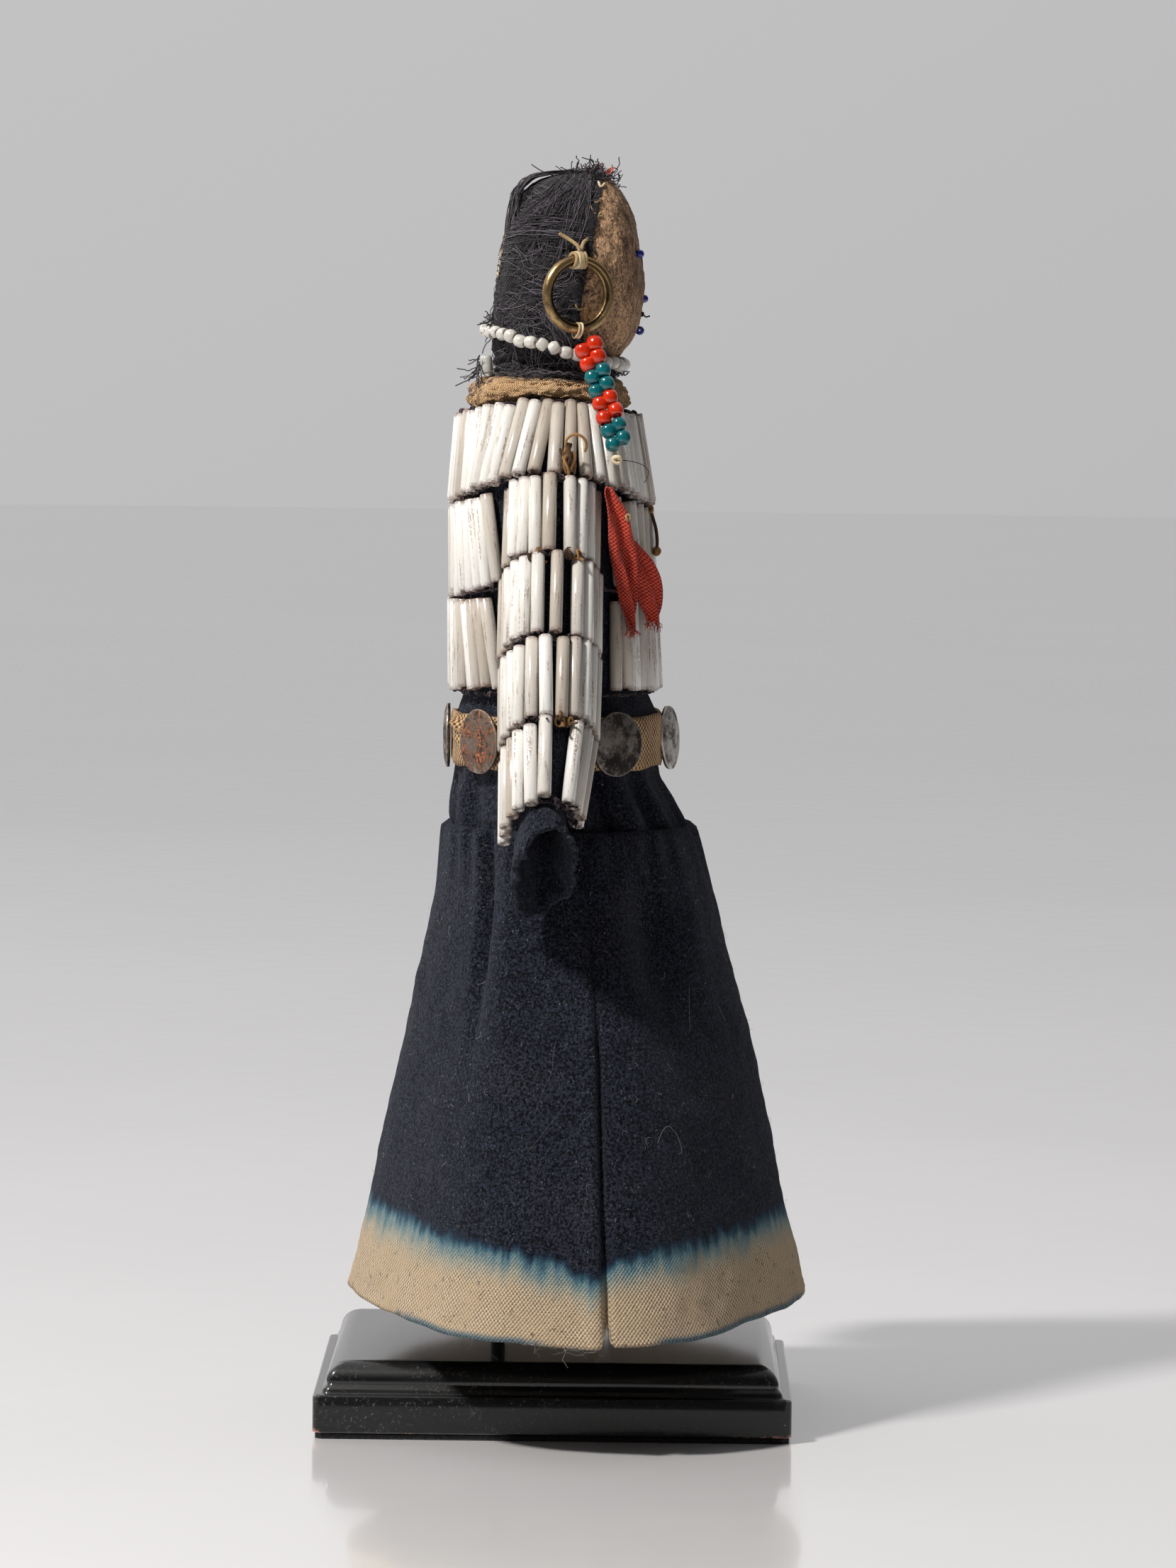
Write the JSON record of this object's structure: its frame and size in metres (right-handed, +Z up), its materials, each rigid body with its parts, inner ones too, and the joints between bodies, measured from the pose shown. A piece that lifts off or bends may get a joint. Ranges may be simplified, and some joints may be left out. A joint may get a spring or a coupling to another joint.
{
  "type": "beaded cloth and hide doll on a stand",
  "caption": "Standing doll with a hide face, a dark wool dress hung with white glass tubes, a disc belt and ring ear ornaments, held by a post on a low moulded stand",
  "frame": {"origin": "centre of the underside of the stand", "axes": "+Z up; the doll faces -Y; its right arm is on the -X side; +Z is the longest extent"},
  "size_m": [0.1645, 0.1138, 0.2915],
  "materials": {
    "base": "black lacquer over wood, worn at the lower corners",
    "base_felt": "thin dark felt",
    "belt_disc_1": "worn tin-plated disc, stained dark",
    "belt_disc_2": "worn tin-plated disc, stained dark",
    "belt_disc_3": "worn tin-plated disc, rusted",
    "belt_disc_4": "worn tin-plated disc, stained dark",
    "belt_disc_5": "worn tin-plated disc, rusted",
    "belt_disc_6": "worn tin-plated disc, stained dark",
    "belt_strap": "worn tan strap",
    "bodice": "napped navy wool",
    "breast_ribbon": "red ribbed ribbon, frayed",
    "cloth_hood": "dark threadbare cloth with frayed threads",
    "hide_face": "wrinkled brown hide",
    "left_bead_drop": "opaque red and blue-green glass beads",
    "left_drop_knot": "cream sinew",
    "left_drop_link": "cream sinew",
    "left_ear_ring": "tarnished rolled brass",
    "left_eye_bead": "cobalt blue glass bead",
    "left_ring_lashing": "cream sinew",
    "left_sleeve": "napped navy wool",
    "left_sleeve_tubes_row_1": "opaque white glass tubes with dirt in the joints",
    "left_sleeve_tubes_row_2": "opaque white glass tubes with dirt in the joints",
    "left_sleeve_tubes_row_3": "opaque white glass tubes with dirt in the joints",
    "left_sleeve_tubes_row_4": "opaque white glass tubes with dirt in the joints",
    "mouth_beads": "cobalt blue glass bead",
    "muslin_torso": "plain-woven muslin, stuffed and wrinkled",
    "nape_bead": "opaque grey-white glass tube",
    "necklace": "opaque white glass beads",
    "nose_bead": "cobalt blue glass bead",
    "post": "dark rod",
    "right_bead_drop": "opaque red and blue-green glass beads",
    "right_drop_knot": "cream sinew",
    "right_drop_link": "cream sinew",
    "right_ear_ring": "tarnished rolled brass",
    "right_eye_bead": "cobalt blue glass bead",
    "right_ring_lashing": "cream sinew",
    "right_sleeve": "napped navy wool",
    "right_sleeve_tubes_row_1": "opaque white glass tubes with dirt in the joints",
    "right_sleeve_tubes_row_2": "opaque white glass tubes with dirt in the joints",
    "right_sleeve_tubes_row_3": "opaque white glass tubes with dirt in the joints",
    "right_sleeve_tubes_row_4": "opaque white glass tubes with dirt in the joints",
    "skirt": "napped navy wool with a pale selvage edge and a blue-green dye bleed",
    "yoke_tubes_row_1": "opaque white glass tubes with dirt in the joints",
    "yoke_tubes_row_2_back": "opaque white glass tubes with dirt in the joints",
    "yoke_tubes_row_2_front": "opaque white glass tubes with dirt in the joints",
    "yoke_tubes_row_3_back": "opaque white glass tubes with dirt in the joints",
    "yoke_tubes_row_3_front": "opaque white glass tubes with dirt in the joints"
  },
  "bodies": {
    "root": {"base": "base", "base_felt": "base_felt", "belt_disc_1": "belt_disc_1", "belt_disc_2": "belt_disc_2", "belt_disc_3": "belt_disc_3", "belt_disc_4": "belt_disc_4", "belt_disc_5": "belt_disc_5", "belt_disc_6": "belt_disc_6", "belt_strap": "belt_strap", "bodice": "bodice", "breast_ribbon": "breast_ribbon", "cloth_hood": "cloth_hood", "hide_face": "hide_face", "left_bead_drop": "left_bead_drop", "left_drop_knot": "left_drop_knot", "left_drop_link": "left_drop_link", "left_ear_ring": "left_ear_ring", "left_eye_bead": "left_eye_bead", "left_ring_lashing": "left_ring_lashing", "left_sleeve": "left_sleeve", "left_sleeve_tubes_row_1": "left_sleeve_tubes_row_1", "left_sleeve_tubes_row_2": "left_sleeve_tubes_row_2", "left_sleeve_tubes_row_3": "left_sleeve_tubes_row_3", "left_sleeve_tubes_row_4": "left_sleeve_tubes_row_4", "mouth_beads": "mouth_beads", "muslin_torso": "muslin_torso", "nape_bead": "nape_bead", "necklace": "necklace", "nose_bead": "nose_bead", "post": "post", "right_bead_drop": "right_bead_drop", "right_drop_knot": "right_drop_knot", "right_drop_link": "right_drop_link", "right_ear_ring": "right_ear_ring", "right_eye_bead": "right_eye_bead", "right_ring_lashing": "right_ring_lashing", "right_sleeve": "right_sleeve", "right_sleeve_tubes_row_1": "right_sleeve_tubes_row_1", "right_sleeve_tubes_row_2": "right_sleeve_tubes_row_2", "right_sleeve_tubes_row_3": "right_sleeve_tubes_row_3", "right_sleeve_tubes_row_4": "right_sleeve_tubes_row_4", "skirt": "skirt", "yoke_tubes_row_1": "yoke_tubes_row_1", "yoke_tubes_row_2_back": "yoke_tubes_row_2_back", "yoke_tubes_row_2_front": "yoke_tubes_row_2_front", "yoke_tubes_row_3_back": "yoke_tubes_row_3_back", "yoke_tubes_row_3_front": "yoke_tubes_row_3_front"}
  },
  "joints": []
}
